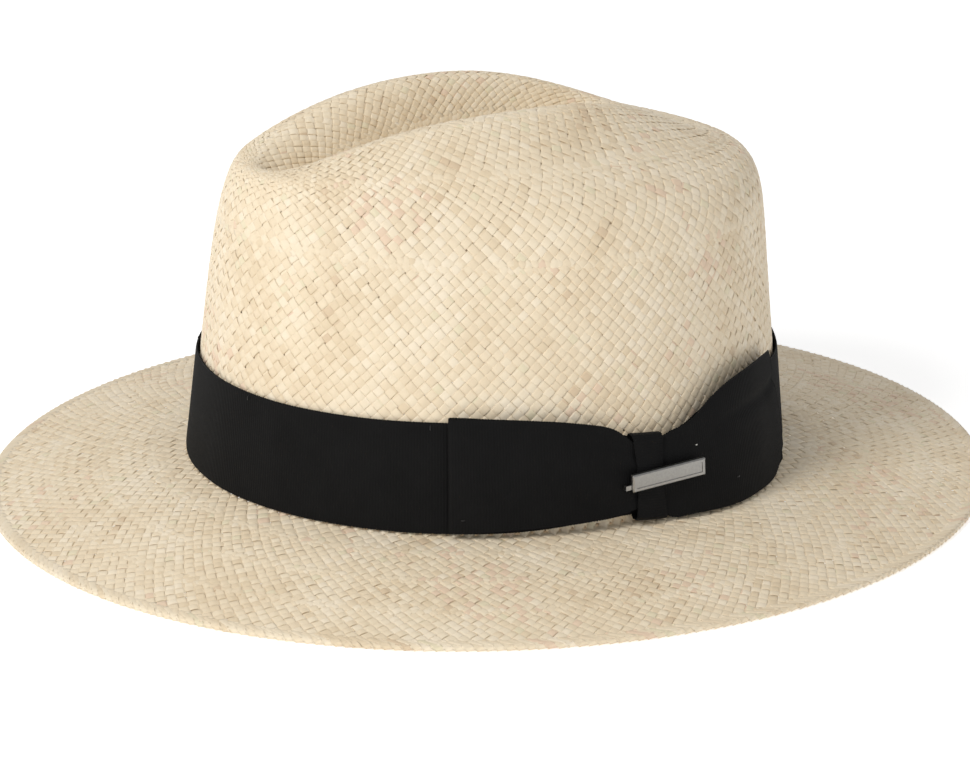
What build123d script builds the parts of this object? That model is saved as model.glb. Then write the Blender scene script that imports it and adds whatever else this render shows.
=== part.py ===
from build123d import *
import math
import os

# Panama fedora, millimetres. +Z is up, the front of the hat faces -Y and the wearer's left is +X.
# The origin is the middle of the brim's oval, on the plane that the brim's edge rests on.

STRAW = 1.3  # thickness of the woven straw
RIM_HEIGHT = 2.0  # the back-woven edge is thicker than the rest
RIM_WIDTH = 6.0
BASE_HEIGHT = 14.0  # top of the brim where the crown meets it
BASE_X = 86.0  # half width of the crown's outside at its base
BASE_Y = 98.2  # half length of the crown's outside at its base
CROWN_BACK = -2.0  # the crown stands this far from the middle of the brim, towards the front
BRIM_SIDE = 59.0  # brim width at the sides
BRIM_ENDS = 67.8  # mean brim width at front and back
BRIM_FALL = BASE_HEIGHT - RIM_HEIGHT

# Control stations of the crown, from its base over the ridge down to the floor of the dent:
# half width, reach to the front, reach to the back, how much wider the back half is than the
# front half, the heights at the sides, at the front and at the back, and how much higher the
# left of the back stands than its right, because the ridge was shaped by hand.
STATIONS = [
    (BASE_X, BASE_Y, BASE_Y, 0.0, 0.0, 0.0, 0.0, 0.0),
    (80.3, 94.9, 95.3, 0.0, 35.0, 35.0, 35.0, 0.0),
    (74.0, 93.0, 92.5, 0.0, 71.0, 74.5, 70.5, 0.0),
    (64.0, 88.5, 91.0, 0.1, 95.0, 100.0, 93.5, 0.0),
    (41.0, 83.5, 75.5, -0.35, 109.0, 101.5, 95.0, 2.5),
    (24.0, 79.5, 53.0, -0.2, 121.0, 100.0, 104.0, 4.6),
    (16.0, 71.0, 46.0, 0.2, 113.0, 92.0, 105.0, 3.0),
    (10.0, 60.0, 30.0, 0.15, 96.0, 90.0, 99.0, 0.0),
    (3.0, 40.0, 14.0, 0.0, 94.0, 94.0, 94.0, 0.0),
]
DENT_MIDDLE = -8.0  # the dent's lowest point, towards the front
PINCH_DEPTH = 11.5
PINCH_ANGLE = 33.0  # each side pinch, in front of the side
PINCH_HEIGHT = 90.0
PINCH_SPREAD_DEG = 20.0
PINCH_SPREAD_UP = 26.0
PINCH_MIN_WIDTH = 40.0  # the ridge and the dent keep their shape

RIBBON = 0.8  # thickness of the grosgrain ribbon
BAND_GAP = 0.4  # band to straw
BAND_LOW = 0.4
BAND_HIGH = 34.8
# The band is gathered under the knot, and lies a little lower behind the bow.
BAND_DIPS = {0: 8.6, 1: 9.0, 2: 2.2, 3: 3.9, 4: 1.9, 5: 0.3}  # of its upper edge, by control point
BAND_RISES = {0: 1.6, 1: 0.4}  # of its lower edge
BAND_OUT = BAND_GAP + RIBBON
LOOP_START = -29.7  # the front loop's fold, in degrees in front of the knot's side
LOOP_END = 7.6
LOOP_LOW = 1.4
LOOP_HIGH = 36.9
KNOT_START = 4.2
KNOT_END = 11.0
KNOT_LOW = 0.4
KNOT_HIGH = 27.7
KNOT_OUT = 5.9
TAG_LENGTH = 26.6
TAG_WIDTH = 5.8
TAG_THICK = 1.5

SWEAT_GAP = 0.3
SWEAT_THICK = 0.9
SWEAT_LOW = 0.2
SWEAT_HIGH = 31.0
REED_RADIUS = 0.8
STITCHES = 72  # places for a stitch round the sweatband; the seam tab covers two of them

SECTORS = 16  # control points round every ring
FRONT_FALL = 3  # the ridge stays high and then falls quickly towards the front
CUBIC_ROUND = (2 + math.cos(2 * math.pi / SECTORS)) / 3  # a closed cubic lies this far inside its points


def spoke(j):
    """Cosine and sine of control point j, drawn out so that the curve itself has the stated size."""
    angle = 2 * math.pi * j / SECTORS
    return math.cos(angle), math.sin(angle), 1 / CUBIC_ROUND


def station_row(row, middle):
    width, front, back, egg, side_up, front_up, back_up, askew = row
    points = []
    for j in range(SECTORS):
        c, s, grow = spoke(j)
        reach = front if s < 0 else back
        end_up = front_up if s < 0 else back_up
        x = width * c * (1 + egg * s) * grow
        y = middle + reach * s * grow
        steep = FRONT_FALL if s < 0 else 2
        z = side_up + (end_up - side_up) * abs(s) ** steep + askew * c * max(s, 0.0)
        push = 0.0
        for centre in (-PINCH_ANGLE, PINCH_ANGLE - 180.0):
            turn = (360.0 * j / SECTORS - centre + 180.0) % 360.0 - 180.0
            push += math.exp(-((turn / PINCH_SPREAD_DEG) ** 2))
        push *= PINCH_DEPTH * math.exp(-(((z - PINCH_HEIGHT) / PINCH_SPREAD_UP) ** 2))
        if width < PINCH_MIN_WIDTH:
            push = 0.0
        nx, ny = c / BASE_X, s / BASE_Y
        size = math.hypot(nx, ny)
        points.append(Vector(x - push * nx / size, y - push * ny / size + CROWN_BACK, z + BASE_HEIGHT))
    return points


def oval_row(half_x, half_y, height, middle=0.0):
    points = []
    for j in range(SECTORS):
        c, s, grow = spoke(j)
        points.append(Vector(half_x * c * grow, middle + half_y * s * grow, height))
    return points


def crown_rows():
    return [station_row(row, 0.0) for row in STATIONS[:-1]] + [station_row(STATIONS[-1], DENT_MIDDLE)]


def inner_rows(rows):
    """The rows again, one straw thickness inside the crown."""
    result = []
    for i, row in enumerate(rows):
        below = rows[max(i - 1, 0)]
        above = rows[min(i + 1, len(rows) - 1)]
        points = []
        for j in range(SECTORS):
            up = above[j] - below[j]
            around = row[(j + 1) % SECTORS] - row[j - 1]
            points.append(row[j] - around.cross(up).normalized() * STRAW)
        result.append(points)
    result[0] = [Vector(p.X, p.Y, BASE_HEIGHT - STRAW) for p in result[0]]
    result[-1] = [Vector(p.X, p.Y, rows[-1][0].Z - STRAW) for p in rows[-1]]
    return result


def around(row):
    """The Bezier points of a closed cubic through the row, three for each sector."""
    points = []
    for j in range(SECTORS):
        before, here, after = row[j - 1], row[j], row[(j + 1) % SECTORS]
        points += [(before + here * 4 + after) / 6, (here * 2 + after) / 3, (here + after * 2) / 3]
    return points


def spans(rows):
    """Splits the clamped cubic through the rows into Bezier spans of four rows each."""
    count = len(rows) - 3
    knots = [0.0] * 3 + [float(i) for i in range(count + 1)] + [float(count)] * 3

    def blossom(k, values, j):
        points = [rows[k + i][j] for i in range(4)]
        for level, value in enumerate(values):
            for i in range(3 - level):
                low = knots[k + i + level + 1]
                high = knots[k + i + 4]
                share = (value - low) / (high - low)
                points[i] = points[i] * (1 - share) + points[i + 1] * share
        return points[0]

    result = []
    for k in range(count):
        a, b = float(k), float(k + 1)
        corners = ((a, a, a), (a, a, b), (a, b, b), (b, b, b))
        result.append([[blossom(k, values, j) for j in range(SECTORS)] for values in corners])
    return result


def skin_faces(rows):
    """Faces between the rows of one span, a patch to each sector."""
    curves = [around(row) for row in rows]
    faces = []
    for j in range(SECTORS):
        patch = [[curve[(3 * j + i) % len(curve)] for i in range(4)] for curve in curves]
        faces.append(Face.make_bezier_surface(patch))
    return faces


def ring_wire(row):
    curve = around(row)
    edges = []
    for j in range(SECTORS):
        edges.append(Edge.make_bezier(*[curve[(3 * j + i) % len(curve)] for i in range(4)]))
    return Wire(edges)


def closed(faces):
    return Solid(Shell(faces))


def oval_point(rows, t, angle):
    """A point of the clamped cubic surface over the rows, t from 0 to 1, angle in degrees."""
    count = len(rows) - 3
    at = min(max(t, 0.0), 1.0 - 1e-9) * count
    k = int(at)
    knots = [0.0] * 3 + [float(i) for i in range(count + 1)] + [float(count)] * 3
    turn = (angle % 360.0) * SECTORS / 360.0
    j = int(turn)
    u = turn - j
    shares = ((1 - u) ** 3, 3 * u**3 - 6 * u * u + 4, -3 * u**3 + 3 * u * u + 3 * u + 1, u**3)
    points = []
    for i in range(4):
        row = rows[k + i]
        point = Vector(0, 0, 0)
        for step, share in enumerate(shares):
            point = point + row[(j + step - 1) % SECTORS] * (share / 6)
        points.append(point)
    for level in range(3):
        for i in range(3 - level):
            low = knots[k + i + level + 1]
            high = knots[k + i + 4]
            share = (at - low) / (high - low)
            points[i] = points[i] * (1 - share) + points[i + 1] * share
    return points[0]


CROWN = crown_rows()


def wall_point(height, angle, out):
    """A point at a height above the crown's base, out from the straw and level with it."""
    low, high = 0.0, 0.5
    goal = max(height, 0.0) + BASE_HEIGHT
    for _ in range(30):
        middle = (low + high) / 2
        if oval_point(CROWN, middle, angle).Z < goal:
            low = middle
        else:
            high = middle
    point = oval_point(CROWN, low, angle)
    nx = math.cos(math.radians(angle)) / BASE_X
    ny = math.sin(math.radians(angle)) / BASE_Y
    size = math.hypot(nx, ny)
    return Vector(point.X + out * nx / size, point.Y + out * ny / size, height + BASE_HEIGHT)


def wall_row(height, out, shifts=None):
    """Control points of a ring that lies on the wall, raised by the shifts at some of them."""
    through = []
    for j in range(SECTORS):
        through.append(wall_point(height + (shifts or {}).get(j, 0.0), 360.0 * j / SECTORS, out))
    row = []
    for j in range(SECTORS):
        bend = through[j - 1] - through[j] * 2 + through[(j + 1) % SECTORS]
        row.append(through[j] - bend / 6)
    return row


def flat_row(height, out):
    """A ring on a level with the crown's base or below it, where the wall goes straight down."""
    return [Vector(p.X, p.Y, BASE_HEIGHT + height) for p in wall_row(0.0, out)]


def quad(a, b, c, d):
    return Wire.make_polygon([a, b, c, d], close=True)


def strip(stations, thick, ruled=False):
    """A ribbon along the wall. Each station is (angle, distance out, low edge, high edge)."""
    sections = []
    for angle, out, low, high in stations:
        sections.append(
            quad(
                wall_point(low, angle, out),
                wall_point(high, angle, out),
                wall_point(high, angle, out + thick),
                wall_point(low, angle, out + thick),
            )
        )
    return Solid.make_loft(sections, ruled=ruled)


def blended(knots, count):
    """Stations spaced evenly along smooth curves through the knots."""
    stations = []
    for i in range(count):
        at = (len(knots) - 1) * i / (count - 1)
        k = min(int(at), len(knots) - 2)
        u = at - k
        rows = [knots[max(k - 1, 0)], knots[k], knots[k + 1], knots[min(k + 2, len(knots) - 1)]]
        values = []
        for a, b, c, d in zip(*rows):
            value = 2 * b + (c - a) * u + (2 * a - 5 * b + 4 * c - d) * u * u
            values.append((value + (3 * b - a - 3 * c + d) * u**3) / 2)
        stations.append(tuple(values))
    return stations


def brim_row(part, drop):
    """A ring of the brim from the crown (part 0) to the edge (part 1), drop below the crown's base."""
    middle = CROWN_BACK * (1 - part)
    return oval_row(BASE_X + BRIM_SIDE * part, BASE_Y + BRIM_ENDS * part, BASE_HEIGHT - drop, middle)


def straw_body():
    outside = CROWN
    inside = inner_rows(CROWN)
    faces = []
    for rows in (outside, inside):
        for span in spans(rows):
            faces += skin_faces(span)
        faces.append(Face(ring_wire(rows[-1])))
    edge_top = brim_row(1.0, BRIM_FALL)
    edge_low = brim_row(1.0, BASE_HEIGHT)
    faces += skin_faces([outside[0], brim_row(1 / 3, 2.8), brim_row(2 / 3, 7.4), edge_top])
    faces += skin_faces([edge_top, edge_low])
    share = 1.0 - RIM_WIDTH / BRIM_SIDE
    rim_low = brim_row(share, BASE_HEIGHT)
    rim_top = brim_row(share, BASE_HEIGHT - 1.7)
    faces.append(Face(ring_wire(edge_low), [ring_wire(rim_low)]))
    faces += skin_faces([rim_low, rim_top])
    under = [brim_row(share / 3, 2.6 + STRAW), brim_row(share * 2 / 3, 6.7 + STRAW)]
    faces += skin_faces([rim_top, under[1], under[0], inside[0]])
    return closed(faces)


def sleeve(low, high, inner, outer, rises=None, dips=None):
    drops = {j: -dip for j, dip in (dips or {}).items()}
    inside = [wall_row(low, inner, rises), wall_row(high, inner, drops)]
    outside = [wall_row(low, outer, rises), wall_row(high, outer, drops)]
    faces = skin_faces(inside) + skin_faces(outside)
    for end in (0, 1):
        faces += skin_faces([inside[end], outside[end]])
    return closed(faces)


def front_loop():
    back = [
        (LOOP_START + 1.0, 2.6 - RIBBON, LOOP_LOW, LOOP_HIGH),
        (-18.0, 2.6 - RIBBON, 2.5, 35.9),
        (-6.0, 2.6 - RIBBON, 3.2, 33.6),
        (2.0, 3.3 - RIBBON, 4.2, 27.2),
        (LOOP_END, 3.6 - RIBBON, 5.4, 22.2),
    ]
    front = [
        (LOOP_START + 1.0, 3.2, LOOP_LOW, LOOP_HIGH),
        (-18.0, 3.6, 2.5, 36.2),
        (-6.0, 4.2, 3.2, 34.2),
        (2.0, 4.0, 4.2, 27.4),
        (LOOP_END, 3.75, 5.4, 22.2),
    ]
    inner = 3.2 - 2.6
    middle = (3.2 + 2.6) / 2
    turns = []
    for step in range(7):
        a = math.radians(-90 + 180 * step / 6)
        corners = []
        for radius in (inner / 2, inner / 2 + RIBBON):
            angle = LOOP_START + 1.0 - math.degrees(radius * math.cos(a) / 92.0)
            corners.append((angle, middle + radius * math.sin(a)))
        (angle_in, out_in), (angle_out, out_out) = corners
        turns.append(
            quad(
                wall_point(LOOP_LOW, angle_in, out_in),
                wall_point(LOOP_HIGH, angle_in, out_in),
                wall_point(LOOP_HIGH, angle_out, out_out),
                wall_point(LOOP_LOW, angle_out, out_out),
            )
        )
    fold = Solid.make_loft(turns, ruled=False)
    return strip(blended(back, 9), RIBBON) + strip(blended(front, 9), RIBBON) + fold


def knot():
    """A short sleeve of ribbon that wraps the middle of the bow from top to bottom."""
    angle = (KNOT_START + KNOT_END) / 2
    near = BAND_OUT + 0.25
    low = wall_point(KNOT_LOW, angle, near)
    high = wall_point(KNOT_HIGH, angle, near)
    before = wall_point(15.0, KNOT_START, near)
    after = wall_point(15.0, KNOT_END, near)
    along = (after - before).normalized()
    rise = high - low
    frame = Plane(origin=(low + high) / 2, x_dir=rise.normalized(), z_dir=along)
    if frame.y_dir.X < 0:
        frame = Plane(origin=frame.origin, x_dir=rise.normalized() * -1, z_dir=along)
    tall = rise.length
    deep = KNOT_OUT - near
    outer = Pos(0, deep / 2) * RectangleRounded(tall, deep, 1.4)
    inner = Pos(0, deep / 2) * RectangleRounded(tall - 2 * RIBBON, deep - 2 * RIBBON, 0.7)
    return extrude(frame * (outer - inner), (after - before).length / 2, both=True)


WING = [
    (KNOT_END - 2.4, 3.1, 5.0, 22.4),
    (KNOT_END + 1.0, 4.4, 0.5, 26.7),
    (17.5, 7.3, 0.2, 29.7),
    (26.0, 8.3, -0.5, 37.1),
    (34.0, 7.5, -0.5, 39.4),
    (42.4, 6.0, -0.2, 39.0),
    (48.4, 4.9, 5.2, 38.0),
]


def rear_wing():
    return strip(blended(WING, 19), RIBBON)


def under_tail():
    stations = []
    for angle, out, low, high in blended(WING[1:-1], 9):
        stations.append((angle, out - 1.2, low + 0.1, high - 1.6))
    out = WING[-1][1] - 0.9
    stations += [(45.4, out, -0.2, 29.0), (47.6, out, -0.1, 16.0), (49.6, out, 0.6, 3.4)]
    return strip(stations, RIBBON * 0.9, ruled=True)


def tag_frame():
    left = wall_point(14.1, 4.1, KNOT_OUT + 0.6)
    right = wall_point(15.6, 17.9, KNOT_OUT + 3.1)
    along = (right - left).normalized()
    outward = along.cross(Vector(0, 0, 1)).normalized()
    return Plane(origin=(left + right) / 2, x_dir=along, z_dir=outward)


def bar_tag():
    with BuildPart() as tag:
        Box(TAG_LENGTH, TAG_WIDTH, TAG_THICK, align=(Align.CENTER, Align.CENTER, Align.MIN))
        fillet(tag.edges().filter_by(Axis.Z), 0.5)
        chamfer(tag.faces().sort_by(Axis.Z)[-1].edges(), 0.4)
        with Locations((0, 0, TAG_THICK)):
            Box(TAG_LENGTH - 2.4, TAG_WIDTH - 2.4, 0.5, mode=Mode.SUBTRACT)
    return tag_frame() * tag.part


def tag_clip():
    """A bent lug at the end of the tag, which closes round the edge of the knot."""
    with BuildPart() as clip:
        with Locations((-TAG_LENGTH / 2, -1.2, 0.6)):
            Box(2.1, 1.5, 0.5, align=(Align.MAX, Align.CENTER, Align.MAX))
        with Locations((-TAG_LENGTH / 2 - 1.6, -1.2, 0.6)):
            Box(0.5, 1.5, 1.5, align=(Align.MAX, Align.CENTER, Align.MAX))
    return tag_frame() * clip.part


def stitch(height, angle, out, long, thick, upright=False):
    """A short bar of thread that lies on the wall."""
    centre = wall_point(height, angle, out)
    step = wall_point(height, angle + 0.5, out) - wall_point(height, angle - 0.5, out)
    rise = wall_point(height + 1.0, angle, out) - centre
    along = (rise if upright else step).normalized()
    outward = (step.cross(rise)).normalized()
    bar = Box(long, thick * 1.3, thick, align=(Align.CENTER, Align.CENTER, Align.MIN))
    return Plane(origin=centre, x_dir=along, z_dir=outward) * bar


def sweat_stitches():
    inner = -(STRAW + SWEAT_GAP + SWEAT_THICK)
    bars = []
    for i in range(STITCHES):
        angle = 360.0 * (i + 0.5) / STITCHES
        if abs(angle - 90.0) > 5.0:
            bars.append(stitch(3.0, angle, inner - 0.6, 3.4, 0.4))
    return Compound(children=bars)


def band_stitches():
    bars = [stitch(BAND_HIGH - 1.6, angle, BAND_OUT + 0.06, 1.4, 0.3, True) for angle in range(117, 330, 42)]
    return Compound(children=bars)


def bow_stitches():
    spots = [(22.0, 17.6, 8.35), (8.0, 27.0, 9.35), (6.0, -27.0, 4.25)]
    return Compound(children=[stitch(h, angle, out, 1.4, 0.3) for h, angle, out in spots])


def reed():
    """A thin cord that stiffens the sweatband's lower edge."""
    out = -(STRAW + 0.25 + REED_RADIUS)
    around_it = []
    for step in range(12):
        a = 2 * math.pi * step / 12
        height = -REED_RADIUS + REED_RADIUS * math.sin(a)
        around_it.append(flat_row(height, out + REED_RADIUS * math.cos(a)))
    faces = []
    for step in range(12):
        faces += skin_faces([around_it[step], around_it[(step + 1) % 12]])
    return closed(faces)


inside_face = -(STRAW + SWEAT_GAP)
sweat_inner = inside_face - SWEAT_THICK
seam_tab = [(a, sweat_inner - 0.75, 1.0, 29.0) for a in (86.4, 88.8, 91.2, 93.6)]
label = [(a, sweat_inner - 0.6, 8.0, 22.0) for a in (104.0, 108.0, 112.0, 116.0, 120.0)]

parts = {
    "straw_body": straw_body(),
    "sweatband": sleeve(SWEAT_LOW, SWEAT_HIGH, sweat_inner, inside_face),
    "sweatband_reed": reed(),
    "sweatband_seam_tab": strip(seam_tab, 0.6),
    "size_label": strip(label, 0.4),
    "sweatband_stitches": sweat_stitches(),
    "hatband": sleeve(BAND_LOW, BAND_HIGH, BAND_GAP, BAND_OUT, BAND_RISES, BAND_DIPS),
    "hatband_tack_stitches": band_stitches(),
    "bow_front_loop": front_loop(),
    "bow_knot": knot(),
    "bow_rear_wing": rear_wing(),
    "bow_under_tail": under_tail(),
    "bow_tack_stitches": bow_stitches(),
    "bar_tag": bar_tag(),
    "tag_clip": tag_clip(),
}

os.makedirs("parts", exist_ok=True)
for name, shape in parts.items():
    export_step(shape, f"parts/{name}.step")
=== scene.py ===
import bpy
import math
import numpy as np
from mathutils import Matrix, Vector


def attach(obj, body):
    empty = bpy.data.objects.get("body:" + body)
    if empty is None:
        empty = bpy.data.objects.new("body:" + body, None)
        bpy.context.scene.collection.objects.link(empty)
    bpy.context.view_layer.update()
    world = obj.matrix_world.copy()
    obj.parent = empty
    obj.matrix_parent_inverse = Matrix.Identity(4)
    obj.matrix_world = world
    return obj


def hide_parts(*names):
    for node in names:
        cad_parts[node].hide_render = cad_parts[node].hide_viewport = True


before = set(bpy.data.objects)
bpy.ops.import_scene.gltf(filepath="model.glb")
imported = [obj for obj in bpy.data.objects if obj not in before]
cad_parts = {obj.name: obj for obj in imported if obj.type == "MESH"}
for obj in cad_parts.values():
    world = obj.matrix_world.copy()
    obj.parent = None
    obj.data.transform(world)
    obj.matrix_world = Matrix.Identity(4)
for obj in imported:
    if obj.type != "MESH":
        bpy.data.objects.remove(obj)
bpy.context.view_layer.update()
MM = 0.001
RNG = np.random.default_rng(57)

# ---------------------------------------------------------------- the hat's shape, as in the CAD model, in mm
STRAW = 1.3
RIM_HEIGHT = 2.0
BASE_HEIGHT = 14.0
BASE_X, BASE_Y = 86.0, 98.2
CROWN_BACK = -2.0
BRIM_SIDE, BRIM_ENDS = 59.0, 67.8
STATIONS = [
    # half width, reach to the front and to the back, egg shape, height at the sides, front and back, askew
    (BASE_X, BASE_Y, BASE_Y, 0.0, 0.0, 0.0, 0.0, 0.0),
    (80.3, 94.9, 95.3, 0.0, 35.0, 35.0, 35.0, 0.0),
    (74.0, 93.0, 92.5, 0.0, 71.0, 74.5, 70.5, 0.0),
    (64.0, 88.5, 91.0, 0.1, 95.0, 100.0, 93.5, 0.0),
    (41.0, 83.5, 75.5, -0.35, 109.0, 101.5, 95.0, 2.5),
    (24.0, 79.5, 53.0, -0.2, 121.0, 100.0, 104.0, 4.6),
    (16.0, 71.0, 46.0, 0.2, 113.0, 92.0, 105.0, 3.0),
    (10.0, 60.0, 30.0, 0.15, 96.0, 90.0, 99.0, 0.0),
    (3.0, 40.0, 14.0, 0.0, 94.0, 94.0, 94.0, 0.0),
]
DENT_MIDDLE = -8.0
PINCH_DEPTH, PINCH_ANGLE, PINCH_HEIGHT = 11.5, 33.0, 90.0
PINCH_SPREAD_DEG, PINCH_SPREAD_UP, PINCH_MIN_WIDTH = 20.0, 26.0, 40.0
FRONT_FALL, BACK_FALL = 3, 2
SECTORS = 16
BACK = 90.0  # degrees of the back of the hat
CUBIC_ROUND = (2 + math.cos(2 * math.pi / SECTORS)) / 3
BRIM_DROPS = (0.0, 2.8, 7.4, BASE_HEIGHT - RIM_HEIGHT)
RIBBON = 0.8
BAND_GAP, BAND_LOW, BAND_HIGH = 0.4, 0.4, 34.8
BAND_OUT = BAND_GAP + RIBBON


def crown_rows():
    """Control points of the crown, a row for each station and a column for each sector."""
    rows = np.zeros((len(STATIONS), SECTORS, 3))
    for i, (width, front, back, egg, side_up, front_up, back_up, askew) in enumerate(STATIONS):
        middle = DENT_MIDDLE if i == len(STATIONS) - 1 else 0.0
        for j in range(SECTORS):
            angle = 2 * math.pi * j / SECTORS
            c, s = math.cos(angle), math.sin(angle)
            reach, end_up = (front, front_up) if s < 0 else (back, back_up)
            x = width * c * (1 + egg * s) / CUBIC_ROUND
            y = middle + reach * s / CUBIC_ROUND
            steep = FRONT_FALL if s < 0 else BACK_FALL
            z = side_up + (end_up - side_up) * abs(s) ** steep + askew * c * max(s, 0.0)
            push = 0.0
            for centre in (-PINCH_ANGLE, PINCH_ANGLE - 180.0):
                turn = (360.0 * j / SECTORS - centre + 180.0) % 360.0 - 180.0
                push += math.exp(-((turn / PINCH_SPREAD_DEG) ** 2))
            push *= PINCH_DEPTH * math.exp(-(((z - PINCH_HEIGHT) / PINCH_SPREAD_UP) ** 2))
            if width < PINCH_MIN_WIDTH:
                push = 0.0
            nx, ny = c / BASE_X, s / BASE_Y
            size = math.hypot(nx, ny)
            rows[i, j] = (x - push * nx / size, y - push * ny / size + CROWN_BACK, z + BASE_HEIGHT)
    return rows


def brim_rows():
    """Control points of the brim, from the crown to its edge."""
    rows = np.zeros((len(BRIM_DROPS), SECTORS, 3))
    for i, drop in enumerate(BRIM_DROPS):
        part = i / (len(BRIM_DROPS) - 1)
        for j in range(SECTORS):
            angle = 2 * math.pi * j / SECTORS
            rows[i, j] = (
                (BASE_X + BRIM_SIDE * part) * math.cos(angle) / CUBIC_ROUND,
                CROWN_BACK * (1 - part) + (BASE_Y + BRIM_ENDS * part) * math.sin(angle) / CUBIC_ROUND,
                BASE_HEIGHT - drop,
            )
    return rows


CROWN = crown_rows()
BRIM = brim_rows()


def clamped_basis(t, count):
    """Weights of the rows of a clamped cubic with the given number of rows."""
    spans = count - 3
    knots = np.concatenate([np.zeros(3), np.arange(spans + 1), np.full(3, spans)]).astype(float)
    at = np.clip(t, 0, 1 - 1e-9) * spans
    k = at.astype(int) + 3
    weights = np.zeros(t.shape + (count,))
    values = np.zeros(t.shape + (4,))
    values[..., 0] = 1.0
    for degree in range(1, 4):
        saved = np.zeros(t.shape)
        for r in range(degree):
            right = knots[k + r + 1]
            left = knots[k + 1 - degree + r]
            share = values[..., r] / (right - left)
            values[..., r] = saved + (right - at) * share
            saved = (at - left) * share
        values[..., degree] = saved
    for r in range(4):
        np.put_along_axis(weights, (k - 3 + r)[..., None], values[..., r : r + 1], axis=-1)
    return weights


def round_basis(degrees):
    """The four sectors of a closed cubic that shape each angle, with their weights."""
    turn = np.mod(degrees, 360.0) * SECTORS / 360.0
    j = np.floor(turn).astype(int)
    u = turn - j
    shares = ((1 - u) ** 3, 3 * u**3 - 6 * u * u + 4, -3 * u**3 + 3 * u * u + 3 * u + 1, u**3)
    return [((j + step - 1) % SECTORS, share / 6) for step, share in enumerate(shares)]


def crown_at(t, degrees):
    """A point of the crown: t from 0 at its base to 1 in the dent."""
    t, degrees = np.broadcast_arrays(np.asarray(t, float), np.asarray(degrees, float))
    weights = clamped_basis(t, len(CROWN))
    result = np.zeros(t.shape + (3,))
    for j, share in round_basis(degrees):
        result += np.einsum("...r,r...c->...c", weights, CROWN[:, j]) * share[..., None]
    return result


def brim_at(part, degrees):
    """A point of the brim: part from 0 at the crown to 1 at its edge."""
    part, degrees = np.broadcast_arrays(np.asarray(part, float), np.asarray(degrees, float))
    bern = [(1 - part) ** 3, 3 * part * (1 - part) ** 2, 3 * part**2 * (1 - part), part**3]
    result = np.zeros(part.shape + (3,))
    for j, share in round_basis(degrees):
        for i, b in enumerate(bern):
            result += BRIM[i][j] * (b * share)[..., None]
    return result


def straw_at(s, degrees):
    """The straw's upper side: s from -1 at the brim's edge over 0 at the crown's base to 1 in the dent."""
    s, degrees = np.broadcast_arrays(np.asarray(s, float), np.asarray(degrees, float))
    on_crown = crown_at(np.clip(s, 0, 1), degrees)
    on_brim = brim_at(np.clip(-s, 0, 1), degrees)
    return np.where((s >= 0)[..., None], on_crown, on_brim)


def unit(v):
    """Vectors of length 1."""
    return v / np.maximum(np.linalg.norm(v, axis=-1, keepdims=True), 1e-9)


def straw_normal(s, degrees):
    """Out of the straw, from short steps up it and round it."""
    step_up, step_round = 0.004, 0.6
    up = straw_at(np.minimum(s + step_up, 0.999), degrees) - straw_at(np.maximum(s - step_up, -1), degrees)
    around = straw_at(s, degrees + step_round) - straw_at(s, degrees - step_round)
    return unit(np.cross(around, up))


WALL_T = np.linspace(0, 0.5, 400)
WALL_STEP = 2.0
WALL_DEGREES = np.arange(0, 360, WALL_STEP)
WALL_HEIGHTS = crown_at(WALL_T[:, None], WALL_DEGREES[None, :])[..., 2]


def outward(degrees):
    """Level direction out of the crown's base."""
    x, y = np.cos(np.radians(degrees)) / BASE_X, np.sin(np.radians(degrees)) / BASE_Y
    size = np.hypot(x, y)
    return x / size, y / size


def wall_at(height, degrees, out):
    """A point at a height above the crown's base, out from the straw, as wall_point in the CAD model."""
    height, degrees, out = np.broadcast_arrays(*(np.asarray(v, float) for v in (height, degrees, out)))
    flat_h, flat_d = np.maximum(height, 0).ravel() + BASE_HEIGHT, np.mod(degrees, 360).ravel()
    column = flat_d / WALL_STEP
    left = np.floor(column).astype(int) % len(WALL_DEGREES)
    mix = column - np.floor(column)
    t = np.zeros(flat_h.shape)
    for k in np.unique(left):
        pick = left == k
        a = np.interp(flat_h[pick], WALL_HEIGHTS[:, k], WALL_T)
        b = np.interp(flat_h[pick], WALL_HEIGHTS[:, (k + 1) % len(WALL_DEGREES)], WALL_T)
        t[pick] = a + (b - a) * mix[pick]
    point = crown_at(t.reshape(height.shape), degrees)
    out_x, out_y = outward(degrees)
    x = point[..., 0] + out * out_x
    y = point[..., 1] + out * out_y
    return np.stack([x, y, height + BASE_HEIGHT], axis=-1)


# ---------------------------------------------------------------- helpers


def mesh_object(name, points, faces, indices=None, materials=()):
    """A smooth mesh: points in mm, a list of arrays of faces, and the material's number for each face."""
    mesh = bpy.data.meshes.new(name)
    points = np.asarray(points, np.float32) * MM
    sizes = np.concatenate([np.full(len(f), f.shape[1]) for f in faces])
    loops = np.concatenate([f.ravel() for f in faces]).astype(np.int32)
    mesh.vertices.add(len(points))
    mesh.vertices.foreach_set("co", points.ravel())
    mesh.loops.add(len(loops))
    mesh.loops.foreach_set("vertex_index", loops)
    mesh.polygons.add(len(sizes))
    starts = np.concatenate([[0], np.cumsum(sizes)[:-1]]).astype(np.int32)
    mesh.polygons.foreach_set("loop_start", starts)
    for m in materials:
        mesh.materials.append(m)
    if indices is not None:
        mesh.polygons.foreach_set("material_index", np.asarray(indices, np.int32))
    mesh.polygons.foreach_set("use_smooth", np.full(len(sizes), True))
    mesh.update(calc_edges=True)
    mesh.validate()
    obj = bpy.data.objects.new(name, mesh)
    bpy.context.scene.collection.objects.link(obj)
    return obj


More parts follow.
